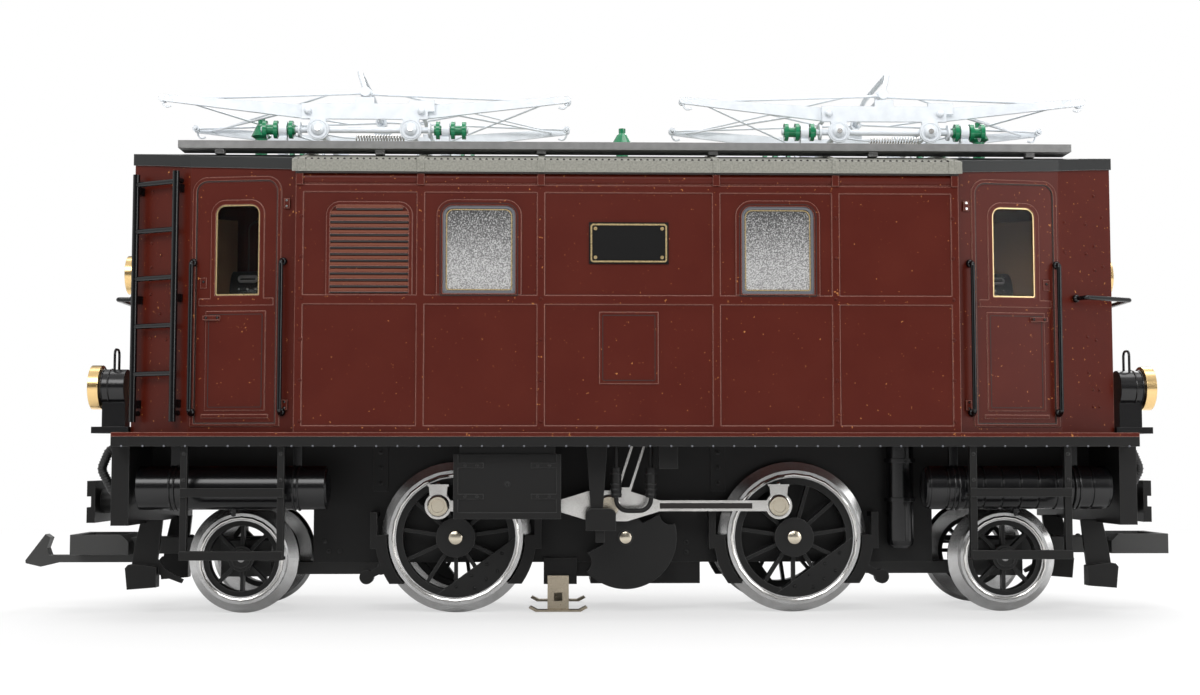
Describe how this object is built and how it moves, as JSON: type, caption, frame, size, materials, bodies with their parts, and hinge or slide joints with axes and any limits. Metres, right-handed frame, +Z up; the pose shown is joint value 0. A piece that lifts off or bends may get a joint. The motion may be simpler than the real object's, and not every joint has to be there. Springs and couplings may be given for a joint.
{
  "type": "model electric locomotive with coupling rods",
  "caption": "Large-scale model of a rod-drive electric locomotive: house, tapered cabs, spoked drivers, jackshaft, pony trucks and folded pantographs.",
  "frame": {"origin": "on the floor under the middle of the model, at the lowest point of the wheel flanges", "axes": "+X along the track towards the end with no hook, +Z up, -Y the side with the ladder at its -X end"},
  "size_m": [0.4195, 0.119, 0.1963],
  "materials": {
    "frame_black": "satin",
    "motor_black": "matte",
    "body_brown": "satin",
    "frosted_glass": "frosted",
    "plate_black": "gloss",
    "clear_glass": "clear",
    "roof_grey": "sanded",
    "cab_roof_grey": "sanded",
    "walkway_grey": "satin",
    "gloss_black": "gloss",
    "lamp_brass": "polished",
    "lens_glass": "clear",
    "skate_nickel": "worn",
    "rail_black": "satin",
    "hose_black": "ribbed",
    "console_black": "satin",
    "panto_silver": "satin",
    "insulator_green": "gloss",
    "wheel_black": "satin",
    "rod_steel": "polished",
    "tyre_steel": "turned",
    "coupler_black": "satin"
  },
  "bodies": {
    "root": {"frame": "frame_black", "motor": "motor_black", "deck": "body_brown", "buffer_beams": "frame_black", "engine_house": "body_brown", "house_windows": "frosted_glass", "plates": "plate_black", "cab_left": "body_brown", "cab_right": "body_brown", "cab_windows": "clear_glass", "house_roof": "roof_grey", "cab_roofs": "cab_roof_grey", "walkways": "walkway_grey", "lamp_bodies": "gloss_black", "lamp_rims": "lamp_brass", "lamp_lenses": "lens_glass", "tanks": "gloss_black", "steps": "frame_black", "battery_boxes": "frame_black", "pickup_skates": "skate_nickel", "handrails": "rail_black", "ladders": "rail_black", "brake_hoses": "hose_black", "cab_consoles": "console_black", "panto_left_base": "panto_silver", "panto_right_base": "panto_silver", "insulators": "insulator_green"},
    "driver_left": {"driver_left_tyres": "tyre_steel", "driver_left_centres": "wheel_black"},
    "driver_right": {"driver_right_tyres": "tyre_steel", "driver_right_centres": "wheel_black"},
    "jackshaft": {"jackshaft": "wheel_black"},
    "rods_near": {"rods_near": "rod_steel"},
    "rods_far": {"rods_far": "rod_steel"},
    "truck_left": {"truck_left": "coupler_black", "coupler_left": "coupler_black"},
    "pony_left": {"pony_left_tyres": "tyre_steel", "pony_left_centres": "wheel_black"},
    "door_near_left": {"door_near_left": "body_brown", "door_near_left_window": "clear_glass"},
    "door_far_left": {"door_far_left": "body_brown", "door_far_left_window": "clear_glass"},
    "panto_left_lower_a": {"panto_left_lower_a": "panto_silver"},
    "panto_left_upper_a": {"panto_left_upper_a": "panto_silver"},
    "panto_left_lower_b": {"panto_left_lower_b": "panto_silver"},
    "panto_left_upper_b": {"panto_left_upper_b": "panto_silver"},
    "panto_left_bow": {"panto_left_bow": "panto_silver"},
    "truck_right": {"truck_right": "coupler_black", "coupler_right": "coupler_black"},
    "pony_right": {"pony_right_tyres": "tyre_steel", "pony_right_centres": "wheel_black"},
    "door_near_right": {"door_near_right": "body_brown", "door_near_right_window": "clear_glass"},
    "door_far_right": {"door_far_right": "body_brown", "door_far_right_window": "clear_glass"},
    "panto_right_lower_a": {"panto_right_lower_a": "panto_silver"},
    "panto_right_upper_a": {"panto_right_upper_a": "panto_silver"},
    "panto_right_lower_b": {"panto_right_lower_b": "panto_silver"},
    "panto_right_upper_b": {"panto_right_upper_b": "panto_silver"},
    "panto_right_bow": {"panto_right_bow": "panto_silver"}
  },
  "joints": [
    {"name": "driver_left_spin", "type": "hinge", "parent": "root", "child": "driver_left", "pos_m": [-0.0603, 0, 0.0268], "axis": [0, 1, 0], "continuous": true},
    {"name": "driver_right_spin", "type": "hinge", "parent": "root", "child": "driver_right", "pos_m": [0.0603, 0, 0.0268], "axis": [0, 1, 0], "continuous": true},
    {"name": "jackshaft_spin", "type": "hinge", "parent": "root", "child": "jackshaft", "pos_m": [0, 0, 0.0268], "axis": [0, 1, 0], "continuous": true},
    {"name": "rods_near_pivot", "type": "hinge", "parent": "driver_left", "child": "rods_near", "pos_m": [-0.06631, 0, 0.0381], "axis": [0, 1, 0], "continuous": true},
    {"name": "rods_far_pivot", "type": "hinge", "parent": "driver_left", "child": "rods_far", "pos_m": [-0.049, 0, 0.03281], "axis": [0, 1, 0], "continuous": true},
    {"name": "truck_left_swivel", "type": "hinge", "parent": "root", "child": "truck_left", "pos_m": [-0.095, 0, 0.0175], "axis": [0, 0, 1], "range_deg": [-7, 7]},
    {"name": "pony_left_spin", "type": "hinge", "parent": "truck_left", "child": "pony_left", "pos_m": [-0.136, 0, 0.0194], "axis": [0, 1, 0], "continuous": true},
    {"name": "door_near_left_hinge", "type": "hinge", "parent": "root", "child": "door_near_left", "pos_m": [-0.12007, -0.05021, 0.067], "axis": [0, 0, -1], "range_deg": [0, 75]},
    {"name": "door_far_left_hinge", "type": "hinge", "parent": "root", "child": "door_far_left", "pos_m": [-0.12007, 0.05021, 0.067], "axis": [0, 0, 1], "range_deg": [0, 75]},
    {"name": "panto_left_raise", "type": "hinge", "parent": "root", "child": "panto_left_lower_a", "pos_m": [-0.1136, 0, 0.1788], "axis": [0, 1, 0], "range_deg": [0, 40]},
    {"name": "panto_left_lower_b_pivot", "type": "hinge", "parent": "root", "child": "panto_left_lower_b", "pos_m": [-0.0732, 0, 0.1788], "axis": [0, -1, 0], "range_deg": [0, 40]},
    {"name": "panto_left_knee_a", "type": "hinge", "parent": "panto_left_lower_a", "child": "panto_left_upper_a", "pos_m": [-0.166, 0, 0.1838], "axis": [0, -1, 0], "range_deg": [0, 76.4]},
    {"name": "panto_left_knee_b", "type": "hinge", "parent": "panto_left_lower_b", "child": "panto_left_upper_b", "pos_m": [-0.0208, 0, 0.1838], "axis": [0, 1, 0], "range_deg": [0, 76.4]},
    {"name": "panto_left_bow_pivot", "type": "hinge", "parent": "panto_left_upper_a", "child": "panto_left_bow", "pos_m": [-0.0934, 0, 0.1864], "axis": [0, 1, 0], "range_deg": [0, 36.4]},
    {"name": "truck_right_swivel", "type": "hinge", "parent": "root", "child": "truck_right", "pos_m": [0.095, 0, 0.0175], "axis": [0, 0, 1], "range_deg": [-7, 7]},
    {"name": "pony_right_spin", "type": "hinge", "parent": "truck_right", "child": "pony_right", "pos_m": [0.136, 0, 0.0194], "axis": [0, 1, 0], "continuous": true},
    {"name": "door_near_right_hinge", "type": "hinge", "parent": "root", "child": "door_near_right", "pos_m": [0.12007, -0.05021, 0.067], "axis": [0, 0, 1], "range_deg": [0, 75]},
    {"name": "door_far_right_hinge", "type": "hinge", "parent": "root", "child": "door_far_right", "pos_m": [0.12007, 0.05021, 0.067], "axis": [0, 0, -1], "range_deg": [0, 75]},
    {"name": "panto_right_raise", "type": "hinge", "parent": "root", "child": "panto_right_lower_a", "pos_m": [0.0732, 0, 0.1788], "axis": [0, 1, 0], "range_deg": [0, 40]},
    {"name": "panto_right_lower_b_pivot", "type": "hinge", "parent": "root", "child": "panto_right_lower_b", "pos_m": [0.1136, 0, 0.1788], "axis": [0, -1, 0], "range_deg": [0, 40]},
    {"name": "panto_right_knee_a", "type": "hinge", "parent": "panto_right_lower_a", "child": "panto_right_upper_a", "pos_m": [0.0208, 0, 0.1838], "axis": [0, -1, 0], "range_deg": [0, 76.4]},
    {"name": "panto_right_knee_b", "type": "hinge", "parent": "panto_right_lower_b", "child": "panto_right_upper_b", "pos_m": [0.166, 0, 0.1838], "axis": [0, 1, 0], "range_deg": [0, 76.4]},
    {"name": "panto_right_bow_pivot", "type": "hinge", "parent": "panto_right_upper_a", "child": "panto_right_bow", "pos_m": [0.0934, 0, 0.1864], "axis": [0, 1, 0], "range_deg": [0, 36.4]}
  ],
  "couplings": [
    {"joint": "driver_right_spin", "follows": "driver_left_spin", "ratio": 1},
    {"joint": "jackshaft_spin", "follows": "driver_left_spin", "ratio": 1},
    {"joint": "rods_near_pivot", "follows": "driver_left_spin", "ratio": -1},
    {"joint": "rods_far_pivot", "follows": "driver_left_spin", "ratio": -1},
    {"joint": "panto_left_lower_b_pivot", "follows": "panto_left_raise", "ratio": 1},
    {"joint": "panto_left_knee_a", "follows": "panto_left_raise", "ratio": 1.91},
    {"joint": "panto_left_knee_b", "follows": "panto_left_raise", "ratio": 1.91},
    {"joint": "panto_left_bow_pivot", "follows": "panto_left_raise", "ratio": 0.91},
    {"joint": "panto_right_lower_b_pivot", "follows": "panto_right_raise", "ratio": 1},
    {"joint": "panto_right_knee_a", "follows": "panto_right_raise", "ratio": 1.91},
    {"joint": "panto_right_knee_b", "follows": "panto_right_raise", "ratio": 1.91},
    {"joint": "panto_right_bow_pivot", "follows": "panto_right_raise", "ratio": 0.91}
  ]
}
